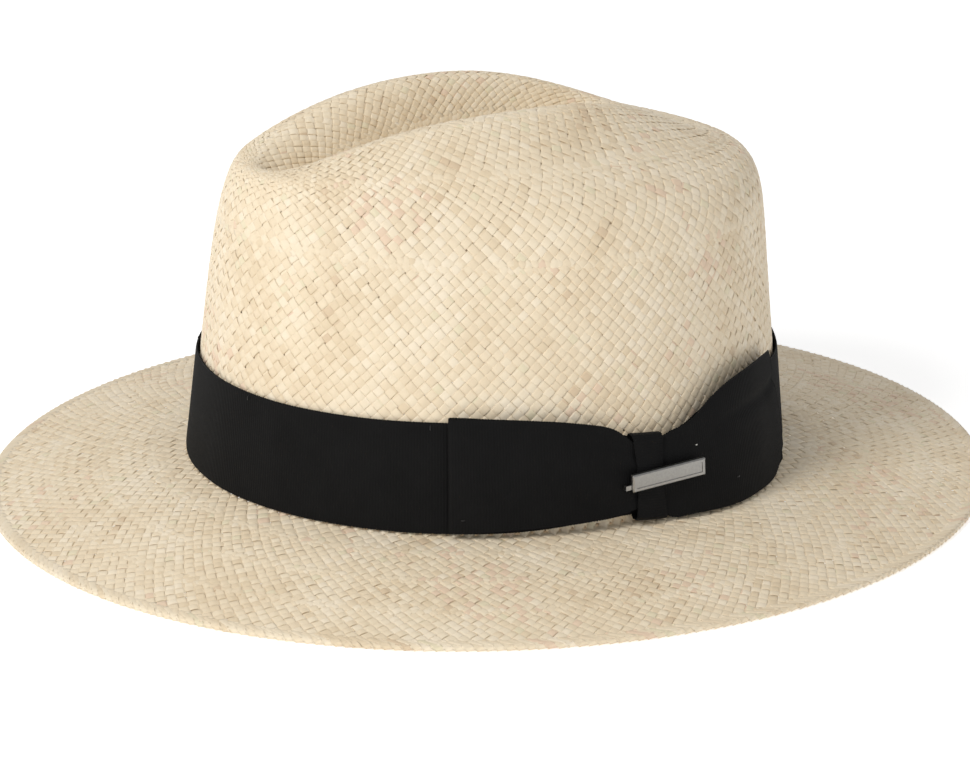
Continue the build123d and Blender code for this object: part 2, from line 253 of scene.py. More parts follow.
def grid_faces(rows, cols, wrap_rows=False, wrap_cols=False, start=0):
    """Quads of a grid of points, closed on itself in either direction if asked."""
    r = np.arange(rows if wrap_rows else rows - 1)
    c = np.arange(cols if wrap_cols else cols - 1)
    a, b = np.meshgrid(r, c, indexing="ij")
    a2, b2 = (a + 1) % rows, (b + 1) % cols
    quad = np.stack([a * cols + b, a * cols + b2, a2 * cols + b2, a2 * cols + b], axis=-1)
    return quad.reshape(-1, 4) + start


def strand_faces(number, steps, sides):
    """Faces of closed strands of the same size: their bodies, first ends and final ends."""
    starts = np.arange(number) * steps * sides
    base = grid_faces(steps, sides, wrap_cols=True)
    bodies = np.concatenate([base + start for start in starts])
    first = np.arange(sides)[::-1][None, :] + starts[:, None]
    final = np.arange(sides)[None, :] + (starts + (steps - 1) * sides)[:, None]
    return [bodies, first, final]


def principled(name, base, roughness, **sockets):
    """A material with its node tree and shader. A socket's name has _ for each space."""
    m = bpy.data.materials.new(name)
    m.use_nodes = True
    m.diffuse_color = (*base, 1)
    shader = m.node_tree.nodes["Principled BSDF"]
    shader.inputs["Base Color"].default_value = (*base, 1)
    shader.inputs["Roughness"].default_value = roughness
    for key, value in sockets.items():
        shader.inputs[key.replace("_", " ")].default_value = value
    return m, m.node_tree, shader


def node(tree, kind, **inputs):
    """A new node of a material, with values for its inputs."""
    n = tree.nodes.new(kind)
    for key, value in inputs.items():
        n.inputs[key.replace("_", " ")].default_value = value
    return n


def straw_tint(name, base):
    """Dry straw of one constant colour."""
    material, _, _ = principled(
        name, base, roughness=0.52, Sheen_Weight=0.12, Sheen_Roughness=0.4, Specular_IOR_Level=0.35
    )
    return material


def shade_ramp(tree, dark, light, start, end):
    """A ramp from a dark shade to a light one."""
    ramp = tree.nodes.new("ShaderNodeValToRGB")
    first, last = ramp.color_ramp.elements
    first.position, last.position = start, end
    first.color, last.color = (*dark, 1), (*light, 1)
    return ramp


def cloth(
    name, dark, light, roughness, scale, bump_scale, bump=0.3, sheen=0.3, specular=0.28, stretch=(1, 1, 1)
):
    """Cloth whose colour wanders between two shades, with fine threads in its surface."""
    m, tree, shader = principled(name, light, roughness, Sheen_Weight=sheen, Sheen_Roughness=0.45)
    shader.inputs["Specular IOR Level"].default_value = specular
    where = tree.nodes.new("ShaderNodeTexCoord")
    mapping = tree.nodes.new("ShaderNodeMapping")
    mapping.inputs["Scale"].default_value = stretch
    tree.links.new(where.outputs["Object"], mapping.inputs["Vector"])
    noise = node(tree, "ShaderNodeTexNoise", Scale=scale, Detail=6.0, Roughness=0.6)
    ramp = shade_ramp(tree, dark, light, 0.3, 0.72)
    tree.links.new(mapping.outputs["Vector"], noise.inputs["Vector"])
    tree.links.new(noise.outputs["Fac"], ramp.inputs["Fac"])
    tree.links.new(ramp.outputs["Color"], shader.inputs["Base Color"])
    fine = node(tree, "ShaderNodeTexNoise", Scale=bump_scale, Detail=3.0)
    tree.links.new(mapping.outputs["Vector"], fine.inputs["Vector"])
    lift = node(tree, "ShaderNodeBump", Strength=bump, Distance=0.0003)
    tree.links.new(fine.outputs["Fac"], lift.inputs["Height"])
    tree.links.new(lift.outputs["Normal"], shader.inputs["Normal"])
    return m


# ---------------------------------------------------------------- camera and light
# the camera that took the photograph; its shifts place the hat in the frame
EYE = Vector((1357.5, -664.1, 582.1)) * MM
TARGET = Vector((0, -2, 54)) * MM
AZIMUTH, ROLL = math.radians(64.0), math.radians(-1.112)
SENSOR, LENS = 36.0, 183.637
SHIFT_X, SHIFT_Y = -0.003031, -0.071443
CLIP_START, CLIP_END = 0.05, 30.0
forward = (TARGET - EYE).normalized()
level_right = Vector((math.cos(AZIMUTH), math.sin(AZIMUTH), 0))
level_up = level_right.cross(forward)
right = level_right * math.cos(ROLL) - level_up * math.sin(ROLL)
up = level_up * math.cos(ROLL) + level_right * math.sin(ROLL)
cam_data = bpy.data.cameras.new("camera")
cam_data.sensor_width, cam_data.lens = SENSOR, LENS
cam_data.shift_x, cam_data.shift_y = SHIFT_X, SHIFT_Y
cam_data.clip_start, cam_data.clip_end = CLIP_START, CLIP_END
camera = bpy.data.objects.new("camera", cam_data)
camera.matrix_world = Matrix(
    (
        (right.x, up.x, -forward.x, EYE.x),
        (right.y, up.y, -forward.y, EYE.y),
        (right.z, up.z, -forward.z, EYE.z),
        (0, 0, 0, 1),
    )
)
bpy.context.scene.collection.objects.link(camera)
bpy.context.scene.camera = camera
LIGHT_AIM = Vector((0, 0, 50)) * MM


def area_light(name, place, size, power, colour=(1, 1, 1)):
    """A round lamp aimed at the hat's middle; place and size in metres."""
    data = bpy.data.lights.new(name, "AREA")
    data.shape = "DISK"
    data.size = size
    data.energy = power
    data.color = colour
    obj = bpy.data.objects.new(name, data)
    obj.location = place
    obj.rotation_euler = (LIGHT_AIM - Vector(place)).to_track_quat("-Z", "Y").to_euler()
    bpy.context.scene.collection.objects.link(obj)


WORLD_STRENGTH = 0.435
area_light("key", place=(0.55, -1.65, 1.5), size=0.8, power=25.8, colour=(1.0, 0.985, 0.96))
area_light("fill", place=(1.9, 0.1, 0.9), size=1.6, power=4)
area_light("back", place=(-1.2, -0.3, 1.7), size=1.2, power=5)
world = bpy.data.worlds.new("studio")
world.use_nodes = True
background = world.node_tree.nodes["Background"]
background.inputs["Color"].default_value = (1, 1, 1, 1)
background.inputs["Strength"].default_value = WORLD_STRENGTH
bpy.context.scene.world = world
bpy.context.scene.view_settings.view_transform = "Standard"

floor_mesh = bpy.data.meshes.new("floor")
FLOOR_HALF = 6.0
floor_corners = [(x * FLOOR_HALF, y * FLOOR_HALF, 0) for x, y in ((-1, -1), (1, -1), (1, 1), (-1, 1))]
floor_mesh.from_pydata(floor_corners, [], [(0, 1, 2, 3)])
floor = bpy.data.objects.new("floor", floor_mesh)
bpy.context.scene.collection.objects.link(floor)
PAPER, _, _ = principled(
    "floor_paper", (0.84, 0.84, 0.84), roughness=0.9, Emission_Color=(1, 1, 1, 1), Emission_Strength=0.48
)
floor_mesh.materials.append(PAPER)

# ---------------------------------------------------------------- straw, woven strand by strand
TINTS = [
    # from bleached to dark, then the two stains
    straw_tint("straw_pale", (0.84, 0.732, 0.566)),
    straw_tint("straw_ivory", (0.82, 0.707, 0.532)),
    straw_tint("straw_cream", (0.8, 0.678, 0.497)),
    straw_tint("straw_natural", (0.775, 0.648, 0.468)),
    straw_tint("straw_sand", (0.74, 0.609, 0.428)),
    straw_tint("straw_tan", (0.68, 0.535, 0.369)),
    straw_tint("straw_pink", (0.765, 0.594, 0.438)),
    straw_tint("straw_green", (0.755, 0.668, 0.478)),
]
# where one shade gives way to the next, of a value of about unit size
TINT_STEPS = [-1.15, -0.4, 0.5, 1.2, 2.1]
PINK, GREEN = 6, 7
PINK_FROM, PINK_SHARE, GREEN_SHARE = 1.5, 0.3, 0.02
# what a cell's value is made of
STRAND_WEIGHT, BLOTCH_WEIGHT, CELL_WEIGHT, STAIN_NOISE = 0.55, 0.5, 0.5, 0.6


def waves(number, shortest, longest):
    """Random waves in space, whose sum is a smooth cloud of about unit size."""
    direction = unit(RNG.normal(size=(number, 3)))
    length = RNG.uniform(shortest, longest, number)
    return direction * (2 * np.pi / length)[:, None], RNG.uniform(0, 2 * np.pi, number)


def cloud_at(points, field):
    """The sum of a field of waves at each point."""
    turns, starts = field
    return np.sin(points @ turns.T + starts).sum(axis=-1) * math.sqrt(2 / len(starts))


BLOTCHES = waves(14, 16.0, 50.0)
STAINS = waves(9, 30.0, 90.0)


def tints_for(points, strand_share):
    """A tint for each cell, from its strand, the blotches of the straw and its own accident."""
    value = strand_share + BLOTCH_WEIGHT * cloud_at(points, BLOTCHES)
    value = value + CELL_WEIGHT * RNG.normal(size=points.shape[:-1])
    tints = np.searchsorted(TINT_STEPS, value)
    stained = cloud_at(points, STAINS) + STAIN_NOISE * RNG.normal(size=tints.shape)
    tints[(stained > PINK_FROM) & (RNG.random(tints.shape) < PINK_SHARE)] = PINK
    tints[RNG.random(tints.shape) < GREEN_SHARE] = GREEN
    return tints


STRAND_THICK = 0.46
STRAND_FILL = 0.985  # its width, as a share of its room
LIFT = 0.27  # over or under at a crossing
END_DIP = 0.6  # how far its end goes down under the next zone
SUBSTEPS = 3  # points from one crossing to the next
CREST = 0.6  # under 1, a strand is flatter over a crossing and steeper between
# how a strand strays from its place, width and level: drawn once, and a slow wave along it
PLACE_SPREAD, PLACE_WAVE, PLACE_PACE = 0.045, 0.035, 0.42
WIDTH_SPREAD, WIDTH_WAVE, WIDTH_PACE = 0.05, 0.03, 0.3
LEVEL_WAVE, LEVEL_PACE = 0.03, 0.9
LAST_S = 0.985  # where the strands end, round the strip at the bottom of the dent
# cross-sections of a strand: share of its half width, share of its half thickness
EDGE_PROFILE = [(-1.0, -0.4), (-0.65, 0.8), (0.65, 0.8), (1.0, -0.4), (0.0, -1.0)]
PROFILE = [(-1.0, -0.1), (-0.86, 0.62), (-0.5, 0.86), (0.5, 0.86), (0.86, 0.62), (1.0, -0.1), (0.0, -1.0)]


def ring_sizes():
    """Length of each ring, and the mean distance up the straw, along s."""
    s = np.concatenate([np.linspace(-1, 0, 161)[:-1], np.linspace(0, LAST_S, 400)])
    deg = np.arange(0, 360, 3.0)
    grid = straw_at(s[:, None], deg[None, :])
    loop = np.linalg.norm(np.roll(grid, -1, axis=1) - grid, axis=-1).sum(axis=1)
    step = np.linalg.norm(np.diff(grid, axis=0), axis=-1).mean(axis=1)
    return s, loop, np.concatenate([[0], np.cumsum(step)])


RING_S, RING_LOOP, RING_ARC = ring_sizes()


def rows_between(s_from, s_to, count, lead, tail):
    """s of each half row of the weave, spaced so that its cells stay square.

    lead and tail are half rows beyond the two ends.
    """

    def half_cell(arc):
        return np.interp(arc, RING_ARC, RING_LOOP) / count / 2

    start = np.interp(s_from, RING_S, RING_ARC)
    end = np.interp(s_to, RING_S, RING_ARC)
    rows = [start - lead * half_cell(start)]
    while rows[-1] < end:
        rows.append(rows[-1] + half_cell(rows[-1]))
    for _ in range(tail):
        rows.append(rows[-1] + half_cell(rows[-1]))
    return np.interp(rows, RING_ARC, RING_S), len(rows) - 1


def even_degrees(s, share):
    """Degrees for shares of the ring's length, counted from the back; one column of shares for each s."""
    grid = BACK + np.arange(0, 361, 1.5)
    ring = straw_at(s[:, None], grid[None, :])
    arc = np.linalg.norm(np.diff(ring, axis=1), axis=-1).cumsum(axis=1)
    arc = np.concatenate([np.zeros((len(s), 1)), arc], axis=1)
    result = np.zeros(share.shape)
    for i in range(len(s)):
        whole = np.floor(share[:, i])
        result[:, i] = np.interp(share[:, i] - whole, arc[i] / arc[i, -1], grid) + whole * 360.0
    return result, arc[:, -1]


def strands(name, s_from, s_to, count, lean, group, groups, lead, tail):
    """One family of strands, which lean left or right.

    A group is every strand that starts in its part of the edge.
    """
    rows, last = rows_between(s_from, s_to, count, lead, tail)
    v = np.arange(0, last * SUBSTEPS + 1) / SUBSTEPS
    s = np.interp(v, np.arange(last + 1), rows)
    ids = np.arange(group * count // groups, (group + 1) * count // groups)
    number, steps, sides = len(ids), len(v), len(PROFILE)
    phase = RNG.uniform(0, 2 * np.pi, (3, number, 1))
    sway = RNG.normal(0, PLACE_SPREAD, (number, 1)) + PLACE_WAVE * np.sin(v * PLACE_PACE + phase[0])
    fuller = RNG.normal(0, WIDTH_SPREAD, (number, 1)) + WIDTH_WAVE * np.sin(v * WIDTH_PACE + phase[1])
    widths = STRAND_FILL * (1 + fuller)
    degrees, loops = even_degrees(s, (ids[:, None] + sway + lean * v / 2) / count)
    s_all = np.broadcast_to(s, degrees.shape)
    wave = np.cos(np.pi * v)
    wave = np.sign(wave) * np.abs(wave) ** CREST
    lift = lean * LIFT * wave + LEVEL_WAVE * np.sin(v * LEVEL_PACE + phase[2])
    if tail:
        lift = lift - END_DIP * np.clip((v - last + tail - 0.3) / 0.9, 0, 1)
    centre = straw_at(s_all, degrees)
    normal = straw_normal(s_all, degrees)
    along = np.gradient(centre, axis=1)
    across = unit(np.cross(normal, along))
    beside = unit(straw_at(s_all, degrees + 0.5) - straw_at(s_all, degrees - 0.5)) * (loops / count)[:, None]
    spacing = np.linalg.norm(np.cross(beside, along), axis=-1) / np.linalg.norm(along, axis=-1)
    half = spacing / 2 * widths
    mid = centre + normal * (lift - STRAW / 2)[..., None]
    thick = STRAND_THICK / 2
    lines = [mid + across * (a * half)[..., None] + normal * (b * thick) for a, b in PROFILE]
    points = np.stack(lines, axis=2)
    # one tint from halfway before a crossing to halfway after it
    crossing = (np.arange(steps - 1) + SUBSTEPS // 2 + 1) // SUBSTEPS
    middles = centre[:, np.minimum(np.arange(crossing.max() + 1) * SUBSTEPS, steps - 1)]
    tints = tints_for(middles, STRAND_WEIGHT * RNG.normal(size=(number, 1)))
    indices = np.concatenate([np.repeat(tints[:, crossing].reshape(-1), sides), tints[:, 0], tints[:, -1]])
    obj = mesh_object(name, points.reshape(-1, 3), strand_faces(number, steps, sides), indices, TINTS)
    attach(obj, "root")
    return obj


def s_of_loop(size, on_crown):
    """Where a ring of the brim or of the crown has the given length."""
    part = RING_S >= 0 if on_crown else RING_S < 0
    return RING_S[part][np.argmax(RING_LOOP[part] < size)]


RIM_S = -0.962
# the weaver adds strands as the rings grow: s where a zone ends, strands of a family, pieces of a family
ZONES = [
    (s_of_loop(860, on_crown=False), 226, 2),
    (s_of_loop(750, on_crown=False), 202, 2),
    (s_of_loop(650, on_crown=False), 176, 2),
    (s_of_loop(500, on_crown=True), 132, 3),
    (s_of_loop(410, on_crown=True), 118, 1),
    (s_of_loop(320, on_crown=True), 102, 1),
    (s_of_loop(230, on_crown=True), 84, 1),
    (LAST_S, 62, 1),
]
low = RIM_S
for zone, (high, count, groups) in enumerate(ZONES):
    lead = 0 if zone == 0 else 1
    tail = 0 if zone == len(ZONES) - 1 else 2
    for lean, side in ((1, "left"), (-1, "right")):
        for group in range(groups):
            name = f"straw_strands_{zone + 1}_{side}_{group + 1}"
            strands(name, low, high, count, lean, group, groups, lead, tail)
    low = high
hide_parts("straw_body")


def dent_floor():
    """A small woven patch that closes the strip at the bottom of the dent."""
    level = STATIONS[-1][4] + BASE_HEIGHT - STRAW / 2
    pitch, half, thick, margin = 2.4, 1.12, STRAND_THICK / 2, 1.2
    up = np.array([0, 0, 1.0])
    sides = len(PROFILE)
    places = np.linspace(-60, 60, 2401)
    ring = crown_at(np.full(72, LAST_S), np.arange(72) * 5.0)
    low, high = ring.min(axis=0) - margin, ring.max(axis=0) + margin
    middle, reach = (low + high) / 2, (high - low) / 2
    points, faces, caps, indices, ends = [], [], [], [], []
    for lean in (1, -1):
        along = np.array([lean, 1.0, 0.0]) / math.sqrt(2)
        across = np.array([-along[1], along[0], 0.0])
        for k in range(-20, 21):
            start = middle + across * (k + 0.5) * pitch
            line = start[None, :] + along[None, :] * places[:, None]
            from_middle = ((line[:, :2] - middle[:2]) / reach[:2]) ** 2
            inside = places[from_middle.sum(axis=1) < 1]
            if len(inside) < 20:
                continue
            first, last = math.floor(inside[0] / pitch * 2), math.ceil(inside[-1] / pitch * 2)
            at = np.arange(first, last + 1) * pitch / 2
            if len(at) < 3:
                continue
            other = (at / pitch * 2).astype(int)
            over = np.where(((other - 1) // 2 + k) % 2 == 0, 1.0, -1.0)
            lift = np.where(other % 2 == 0, 0.0, over) * LIFT * lean
            line = start[None, :] + along[None, :] * at[:, None]
            line[:, 2] = level + lift
            ring_points = np.stack([line + across * a * half + up * b * thick for a, b in PROFILE], axis=1)
            base = sum(len(strand) for strand in points)
            points.append(ring_points.reshape(-1, 3))
            faces.append(grid_faces(len(at), sides, wrap_cols=True, start=base))
            caps.append(np.arange(sides)[::-1] + base)
            caps.append(np.arange(sides) + base + (len(at) - 1) * sides)
            tint = int(tints_for(start[None, :], 0.0)[0])
            indices += [tint] * len(faces[-1])
            ends += [tint, tint]
    polygons = [np.concatenate(faces), np.array(caps)]
    obj = mesh_object("straw_dent_floor", np.concatenate(points), polygons, indices + ends, TINTS)
    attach(obj, "root")


dent_floor()


def back_woven_edge():
    """The brim's edge: strand ends turned back over it, side by side and slanting."""
    turns, slant = 330, 4.2
    steps, sides = 15, len(EDGE_PROFILE)
    half, thick, inset = 1.45, 0.26, 0.42
    k = np.arange(turns)
    u = np.linspace(0, 1, steps)
    # the path goes out along the top, round the edge and back under it
    path_s = np.interp(u, [0, 0.46, 0.54, 1], [-0.948, -1.0, -1.0, -0.93])
    drop = np.interp(u, [0, 0.40, 0.5, 0.6, 1], [-0.42, -0.08, -0.9, -1.85, -1.5])
    outer = np.interp(u, [0, 0.38, 0.5, 0.62, 1], [0, 0, 0.35, 0, 0])
    degrees = (k[:, None] + u[None, :] * slant - 2 + RNG.normal(0, 0.06, turns)[:, None]) * 360 / turns
    s = np.broadcast_to(path_s, degrees.shape)
    centre = brim_at(-s, degrees)
    radial = unit(brim_at(-s + 0.02, degrees) - brim_at(-s - 0.02, degrees))
    radial[..., 2] = 0
    radial = unit(radial)
    mid = centre + radial * (outer - inset)[None, :, None]
    mid[..., 2] += drop + 0.05 * np.sin(k * 2.4)[:, None]
    along = np.gradient(mid, axis=1)
    swirl = np.interp(u, [0, 0.4, 0.6, 1], [0, 0, math.pi, math.pi])
    normal = np.zeros_like(mid)
    normal += np.cos(swirl)[None, :, None] * np.array([0, 0, 1.0]) + np.sin(swirl)[None, :, None] * radial
    across = unit(np.cross(normal, along))
    normal = unit(np.cross(along, across))
    points = np.stack([mid + across * a * half + normal * b * thick for a, b in EDGE_PROFILE], axis=2)
    points[..., 2] = np.maximum(points[..., 2], 0.02)
    tint = tints_for(mid[:, 4], 0.5 * RNG.normal(size=turns))
    indices = np.concatenate([np.repeat(tint, (steps - 1) * sides), tint, tint])
    polygons = strand_faces(turns, steps, sides)
    obj = mesh_object("straw_back_woven_edge", points.reshape(-1, 3), polygons, indices, TINTS)
    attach(obj, "root")


back_woven_edge()

# ---------------------------------------------------------------- ribbon
BLACK = cloth(
    "black_grosgrain",
    dark=(0.0022, 0.0022, 0.0024),
    light=(0.0048, 0.0048, 0.005),
    roughness=0.75,
    scale=60.0,
    bump_scale=2600.0,
    sheen=0.02,
    specular=0.15,
)
RIB = 0.92
POINTS_PER_RIB = 4
SELVEDGE = 0.10  # how far the ribs stick out of the ribbon's two edges


def ribbon(name, centre_of, across_rows, thick, rib=RIB, depth=0.11, closed=False):
    """A ribbed ribbon. centre_of(u, v) is its middle surface, u along it and v across it, both 0 to 1."""
    u_fine = np.linspace(0, 1, 400)
    line = centre_of(u_fine, np.full(400, 0.5))
    arc = np.concatenate([[0], np.cumsum(np.linalg.norm(np.diff(line, axis=0), axis=-1))])
    ribs = int(round(arc[-1] / rib))
    columns = ribs * POINTS_PER_RIB + (0 if closed else 1)
    place = np.arange(columns) / (ribs * POINTS_PER_RIB)
    u = np.interp(place * arc[-1], arc, u_fine)
    uu, vv = np.meshgrid(u, across_rows, indexing="ij")
    phase = np.cos(2 * np.pi * ribs * place)[:, None]
    edge = np.exp(-(np.minimum(vv, 1 - vv) * 60) ** 2)  # 1 at the ribbon's two edges, 0 inside
    middle = centre_of(uu, vv)
    step = 1e-3
    du = centre_of(np.minimum(uu + step, 1), vv) - centre_of(np.maximum(uu - step, 0), vv)
    if closed:
        du = centre_of(np.mod(uu + step, 1), vv) - centre_of(np.mod(uu - step, 1), vv)
    dv = centre_of(uu, np.minimum(vv + step, 1)) - centre_of(uu, np.maximum(vv - step, 0))
    normal = unit(np.cross(du, dv))
    side = unit(dv)
    middle = middle + side * ((vv > 0.5) * 2 - 1)[..., None] * (edge * SELVEDGE * phase)[..., None]
    grow = thick / 2 - depth * (0.5 - 0.5 * phase)
    grow = grow * (1 - 0.45 * edge)  # thinner at its edges
    front = middle + normal * grow[..., None]
    back = middle - normal * grow[..., None]
    rows, cols = uu.shape
    points = np.concatenate([front.reshape(-1, 3), back.reshape(-1, 3)])
    number = rows * cols
    faces = [grid_faces(rows, cols, wrap_rows=closed)]
    faces.append(grid_faces(rows, cols, wrap_rows=closed, start=number)[:, ::-1])
    r = np.arange(rows if closed else rows - 1)
    r2 = (r + 1) % rows
    low = np.stack([r * cols, r2 * cols, r2 * cols + number, r * cols + number], axis=-1)
    high = np.stack([r2 * cols, r * cols, r * cols + number, r2 * cols + number], axis=-1) + cols - 1
    faces += [low[:, ::-1], high[:, ::-1]]
    if not closed:
        c = np.arange(cols - 1)
        end = (rows - 1) * cols
        faces.append(np.stack([c + 1, c, c + number, c + 1 + number], axis=-1)[:, ::-1])
        c = c + end
        faces.append(np.stack([c, c + 1, c + 1 + number, c + number], axis=-1)[:, ::-1])
    obj = mesh_object(name, points, faces, None, [BLACK])
    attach(obj, "root")
    return obj


def rows_across(inner_from, inner_count):
    """Where the points across a ribbon lie, closer together at its edges."""
    inner = np.linspace(inner_from, 1 - inner_from, inner_count)
    return np.concatenate([[0, 0.012, 0.03], inner, [0.97, 0.988, 1]])


EDGE_ROWS = rows_across(0.06, 12)


def smooth_knots(knots, at):
    """Catmull-Rom through the knots' columns; at runs from 0 to 1."""
    knots = np.asarray(knots, float)
    x = np.asarray(at, float) * (len(knots) - 1)
    k = np.clip(np.floor(x).astype(int), 0, len(knots) - 2)
    u = (x - k)[..., None]
    a = knots[np.maximum(k - 1, 0)]
    b = knots[k]
    c = knots[k + 1]
    d = knots[np.minimum(k + 2, len(knots) - 1)]
    return (2 * b + (c - a) * u + (2 * a - 5 * b + 4 * c - d) * u**2 + (3 * b - a - 3 * c + d) * u**3) / 2


def bump_at(degrees, size, centre, spread):
    """A smooth rise of the given size round one angle."""
    away = np.mod(degrees - centre + 180.0, 360.0) - 180.0
    return size * np.exp(-((away / spread) ** 2))


def band_middle(u, v):
    """The band follows the crown's wall, and dips where the bow covers it or pulls it down."""
    degrees = 360.0 * u + BACK
    low = BAND_LOW + bump_at(degrees, 1.7, 3.0, 14.0)
    under_knot = bump_at(degrees, 10.4, 12.0, 13.5)
    behind_bow = bump_at(degrees, 3.9, 66.0, 28.0)
    height = low + (BAND_HIGH - under_knot - behind_bow - low) * v
    ripple = 0.07 * np.sin(np.radians(degrees) * 7) + 0.05 * np.sin(np.radians(degrees) * 17 + v * 2)
    return wall_at(height, degrees, BAND_GAP + RIBBON / 2 + ripple)


band = ribbon("ribbon_band", band_middle, EDGE_ROWS, RIBBON, closed=True)
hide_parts("hatband")

LOOP_KNOTS = [
    # angle, middle of the ribbon out from the straw, low edge, high edge
    (7.4, 3.15, 6.0, 22.0),
    (2.0, 2.95, 4.2, 28.0),
    (-4.0, 2.5, 3.4, 32.0),
    (-14.0, 2.3, 2.8, 35.2),
    (-24.0, 2.25, 2.0, 36.6),
    (-28.4, 2.3, 1.5, 36.9),
    (-29.4, 2.95, 1.4, 36.95),
    (-28.4, 3.6, 1.4, 36.9),
    (-24.0, 3.9, 1.9, 37.0),
    (-14.0, 4.35, 2.8, 36.1),
    (-4.0, 4.75, 3.3, 33.7),
    (2.0, 4.45, 3.8, 30.3),
    (7.4, 4.2, 6.0, 22.0),
]


def loop_middle(u, v):
    """The loop's ribbon goes forward from the knot, folds and comes back in front, gathered at both ends."""
    angle, out, low, high = np.moveaxis(smooth_knots(LOOP_KNOTS, u), -1, 0)
    in_front = u > 0.5
    gather = np.clip((angle + 12) / 19, 0, 1) ** 2
    pleat = 0.28 * gather * np.cos(v * 2 * np.pi * 3.0)
    puff = 0.3 * np.sin(np.pi * v) * np.clip((angle + 30) / 20, 0, 1) * (1 - gather) * in_front
    return wall_at(low + (high - low) * v, angle, out + pleat * np.where(in_front, 0.9, 0.3) + puff)


loop = ribbon("bow_loop", loop_middle, rows_across(0.05, 28), RIBBON * 0.8)
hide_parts("bow_front_loop")

BOW_MARGIN = 1.0  # how far the upper edges of the wing and the tail lie below their knots
WING_KNOTS = [
    (8.8, 3.9, 5.0, 22.4),
    (12.4, 5.1, 0.3, 26.8),
    (17.5, 7.3, 0.2, 29.7),
    (26.0, 8.6, -0.5, 37.1),
    (34.0, 8.0, -0.5, 39.4),
    (42.4, 6.3, -0.2, 39.1),
    (48.6, 5.2, 5.4, 38.1),
]


def wing_middle(u, v):
    """The rear wing: gathered at the knot, creased along its upper part, its top edge against the straw."""
    angle, out, low, high = np.moveaxis(smooth_knots(WING_KNOTS, u), -1, 0)
    gather = np.clip((17 - angle) / 8, 0, 1) ** 1.5
    pleat = 0.3 * gather * np.cos(v * 2 * np.pi * 2.5)
    crease = np.clip((angle - 22) / 14, 0, 1)
    groove = 0.9 * crease * np.exp(-(((v - 0.74 + 0.03 * crease) / 0.05) ** 2))
    fold = groove - 0.5 * crease * np.clip((v - 0.76) / 0.24, 0, 1)
    lean = np.clip((angle - 13) / 10, 0, 1)
    height = low + (high - low - BOW_MARGIN * lean) * v
    puff = 0.25 * np.sin(np.pi * v) * crease
    return wall_at(height, angle, out - 3.0 * lean * v**1.5 + pleat - fold + puff)


wing = ribbon("bow_wing", wing_middle, rows_across(0.05, 34), RIBBON * 0.85)
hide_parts("bow_rear_wing")

TAIL_KNOTS = [
    (12.4, 3.9, 1.2, 24.6),
    (20.0, 5.8, 0.3, 29.6),
    (28.0, 6.8, -0.3, 35.6),
    (36.5, 6.2, -0.3, 37.0),
    (43.5, 5.0, -0.2, 31.0),
    (47.2, 4.3, -0.1, 16.0),
    (49.8, 4.2, 0.6, 3.4),
]


def tail_middle(u, v):
    """The tail under the wing, cut slantwise at its end."""
    angle, out, low, high = np.moveaxis(smooth_knots(TAIL_KNOTS, u), -1, 0)
    lean = np.clip((angle - 13) / 10, 0, 1) * np.clip((high - 3) / 34, 0, 1)
    return wall_at(low + (high - low - BOW_MARGIN * lean) * v, angle, out - 2.9 * lean * v**1.5)


tail = ribbon("bow_tail", tail_middle, EDGE_ROWS, RIBBON * 0.8)
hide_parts("bow_under_tail")


def knot_middle(u, v):
    """The knot's ribbon goes up the front, over the top and down behind; v runs across it."""
    low, high = 0.8, 27.4
    near, far = BAND_OUT + 0.65, 5.5
    centre, width = 8.2, 6.5
    tall, deep, r = high - low, far - near, 1.0
    bend = r * 1.57
    half_round = [tall - 2 * r, bend, deep - 2 * r, bend]
    runs = np.array([0] + half_round * 2)
    stops = np.cumsum(runs) / runs.sum()
    hs = np.array([low + r, high - r, high, high, high - r, low + r, low, low, low + r])
    outs = np.array([far, far, far - r, near + r, near, near, near + r, far - r, far])
    h = np.interp(u, stops, hs)
    out = np.interp(u, stops, outs)
    waist = 1 - 0.16 * np.sin(np.pi * (h - low) / tall)
    angle = centre + (v - 0.5) * width * waist
    front = np.clip((out - near) / deep, 0, 1)
    bulge = 0.45 * np.cos((v - 0.5) * np.pi) * front
    return wall_at(h - 0.2 * (angle - centre), angle, out + bulge - 0.25)


KNOT_ROWS = np.concatenate([[0, 0.04, 0.1], np.linspace(0.16, 0.84, 9), [0.9, 0.96, 1]])
knot = ribbon("bow_knot_wrap", knot_middle, KNOT_ROWS, RIBBON * 0.7, rib=0.85, depth=0.09, closed=True)
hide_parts("bow_knot")

# ---------------------------------------------------------------- inside: sweatband, cord, tab, label
SWEAT_GAP, SWEAT_THICK = 0.3, 0.9
SWEAT_LOW, SWEAT_HIGH = 0.25, 31.0
SWEAT_OUT = -(STRAW + SWEAT_GAP + SWEAT_THICK / 2)
SWEAT_INNER = -(STRAW + SWEAT_GAP + SWEAT_THICK)
TWILL = cloth(
    "sweatband_cotton",
    dark=(0.50, 0.40, 0.27),
    light=(0.66, 0.55, 0.40),
    roughness=0.7,
    scale=45.0,
    bump_scale=1800.0,
    bump=0.35,
    sheen=0.4,
    stretch=(1, 1, 3),
)
WHITE_LABEL = cloth(
    "label_satin",
    dark=(0.70, 0.68, 0.62),
    light=(0.84, 0.82, 0.77),
    roughness=0.45,
    scale=120.0,
    bump_scale=2600.0,
    stretch=(1, 1, 4),
)
CORD = cloth(
    "reed_cord",
    dark=(0.34, 0.26, 0.17),
    light=(0.50, 0.40, 0.28),
    roughness=0.7,
    scale=120.0,
    bump_scale=2000.0,
    bump=0.4,
)


def thread(name, dark, light, roughness):
    """Sewing thread: cloth with a fine grain."""
    return cloth(name, dark, light, roughness, scale=300.0, bump_scale=3000.0)


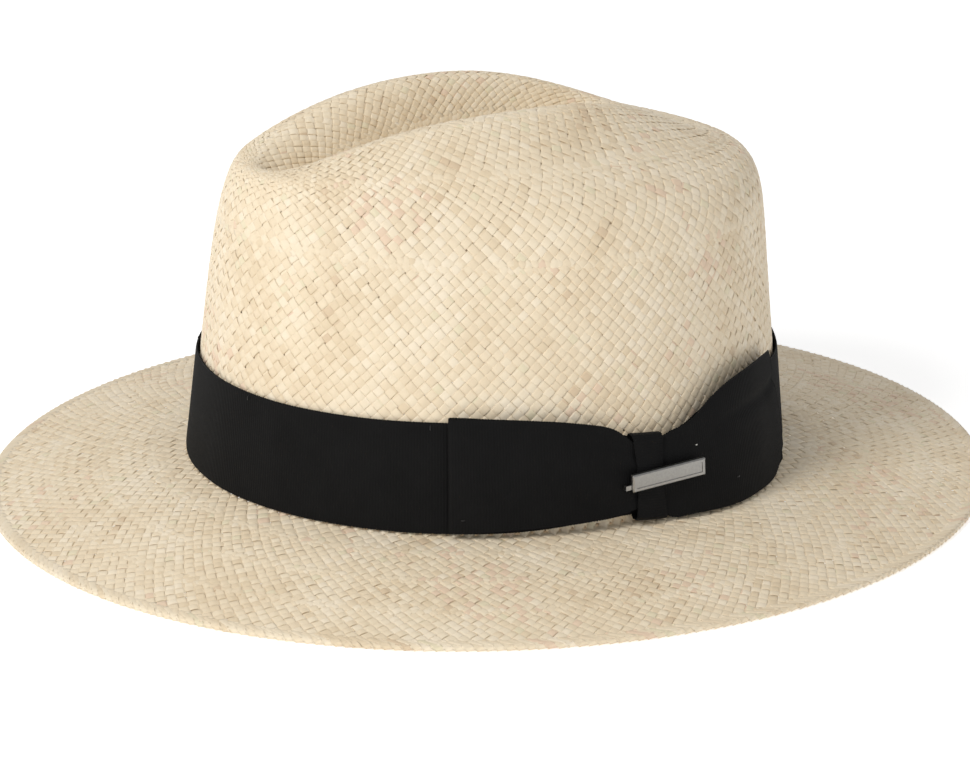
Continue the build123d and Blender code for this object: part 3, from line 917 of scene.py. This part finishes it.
CREAM = thread("cream_thread", (0.60, 0.52, 0.38), (0.78, 0.71, 0.57), 0.65)
DARK_THREAD = thread("black_thread", (0.008, 0.008, 0.008), (0.02, 0.02, 0.02), 0.6)
PALE_THREAD = thread("pale_thread", (0.5, 0.49, 0.45), (0.7, 0.69, 0.66), 0.5)


def paint(obj, material):
    """Give a piece one material in place of its own."""
    obj.data.materials.clear()
    obj.data.materials.append(material)


def sweat_middle(u, v):
    """The sweatband stands against the straw's inner side, a little wavy at its free upper edge."""
    degrees = 360.0 * u + BACK
    height = SWEAT_LOW + (SWEAT_HIGH - SWEAT_LOW) * v
    wave = 0.06 * np.sin(np.radians(degrees) * 11) * v
    return wall_at(height, degrees, SWEAT_OUT + wave)


sweat = ribbon("sweatband_twill", sweat_middle, EDGE_ROWS, 0.86, rib=1.6, depth=0.05, closed=True)
paint(sweat, TWILL)
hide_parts("sweatband")


def patch(name, degrees, heights, gap, thick, material, node_name):
    """A flat piece sewn to the sweatband's inner side, between two angles and two heights."""

    def middle(u, v):
        a = degrees[0] + (degrees[1] - degrees[0]) * u
        h = heights[0] + (heights[1] - heights[0]) * v
        return wall_at(h, a, SWEAT_INNER - gap - thick / 2)

    obj = ribbon(name, middle, EDGE_ROWS, thick, rib=0.7, depth=0.06)
    paint(obj, material)
    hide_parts(node_name)
    return obj


tab = patch(
    "sweatband_tab",
    degrees=(93.6, 86.4),
    heights=(1.0, 29.0),
    gap=0.12,
    thick=0.55,
    material=TWILL,
    node_name="sweatband_seam_tab",
)
label = patch(
    "label_satin",
    degrees=(120.0, 104.0),
    heights=(8.0, 22.0),
    gap=0.14,
    thick=0.36,
    material=WHITE_LABEL,
    node_name="size_label",
)


def reed_cord():
    """The twisted cord in the sweatband's lower edge, a ring just inside the straw."""
    around, sides = 720, 8
    room, gap = 0.8, 0.25
    mean_radius, twist_depth, twists = 0.72, 0.07, 180
    degrees = np.arange(around) * 360 / around
    ring = wall_at(np.zeros(around), degrees, -(STRAW + gap + room))
    out_x, out_y = outward(degrees)
    out = np.stack([out_x, out_y, np.zeros(around)], axis=-1)
    points = []
    for k in range(sides):
        a = 2 * np.pi * k / sides
        radius = mean_radius + twist_depth * np.cos(np.radians(degrees) * twists + a * 2)
        lift = radius * math.sin(a) - room
        place = ring + out * (radius * math.cos(a))[:, None]
        place[:, 2] += lift
        points.append(place)
    points = np.stack(points, axis=1)
    faces = [grid_faces(around, sides, True, True)]
    obj = mesh_object("sweatband_cord", points.reshape(-1, 3), faces, None, [CORD])
    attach(obj, "root")
    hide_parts("sweatband_reed")


reed_cord()


def stitches(name, places, material, node_name, radius):
    """Each place is (height, degrees, out, length, upright): a thread that dives in at both ends."""
    steps, sides = 7, 6
    points = []
    for height, degrees, out, length, upright in places:
        middle = wall_at(height, degrees, out)
        step = unit(wall_at(height, degrees + 0.5, out) - wall_at(height, degrees - 0.5, out))
        rise = unit(wall_at(height + 1.0, degrees, out) - middle)
        normal = unit(np.cross(step, rise))
        direction = rise if upright else unit(step + 0.12 * rise)
        side = unit(np.cross(normal, direction))
        for i in range(steps):
            u = i / (steps - 1)
            fat = radius * (0.55 + 0.45 * math.sin(math.pi * u))
            centre = middle + direction * (u - 0.5) * length + normal * (0.22 * math.sin(math.pi * u) - 0.12)
            for k in range(sides):
                a = 2 * math.pi * k / sides
                points.append(centre + side * math.cos(a) * fat + normal * math.sin(a) * fat)
    obj = mesh_object(name, points, strand_faces(len(places), steps, sides), None, [material])
    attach(obj, "root")
    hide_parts(node_name)


# round the sweatband every 5 degrees, but not through the tab
sweat_degrees = [2.5 + 5 * i for i in range(72) if abs(2.5 + 5 * i - BACK) > 5]
sweat_places = [(3.0, degrees, SWEAT_INNER - 0.1, 3.4, False) for degrees in sweat_degrees]
stitches("sweatband_sewing", sweat_places, CREAM, "sweatband_stitches", 0.2)
band_places = [(33.2, degrees, BAND_OUT + 0.1, 1.4, True) for degrees in range(117, 330, 42)]
stitches("ribbon_tacks", band_places, DARK_THREAD, "hatband_tack_stitches", 0.16)
pale_places = [(22.0, 17.6, 8.1, 0.6, False)]
stitches("bow_tacks", pale_places, PALE_THREAD, "bow_tack_stitches", 0.2)
dark_places = [(8.0, 27.0, 9.3, 1.2, False), (6.0, -27.0, 4.3, 1.2, False)]
stitches("bow_tacks_black", dark_places, DARK_THREAD, "bow_tack_stitches", 0.16)

# ---------------------------------------------------------------- metal tag


def pewter():
    """Dull metal with a fine, faint grain."""
    material, tree, shader = principled("tag_pewter", (0.34, 0.335, 0.32), roughness=0.34, Metallic=1.0)
    where = tree.nodes.new("ShaderNodeTexCoord")
    grain = node(tree, "ShaderNodeTexNoise", Scale=1400.0, Detail=4.0)
    tree.links.new(where.outputs["Object"], grain.inputs["Vector"])
    ramp = shade_ramp(tree, (0.31, 0.305, 0.295), (0.37, 0.365, 0.35), 0.3, 0.7)
    tree.links.new(grain.outputs["Fac"], ramp.inputs["Fac"])
    tree.links.new(ramp.outputs["Color"], shader.inputs["Base Color"])
    span = node(tree, "ShaderNodeMapRange", To_Min=0.3, To_Max=0.4)
    tree.links.new(grain.outputs["Fac"], span.inputs["Value"])
    tree.links.new(span.outputs["Result"], shader.inputs["Roughness"])
    return material


PEWTER = pewter()
for name in ("bar_tag", "tag_clip"):
    paint(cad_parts[name], PEWTER)
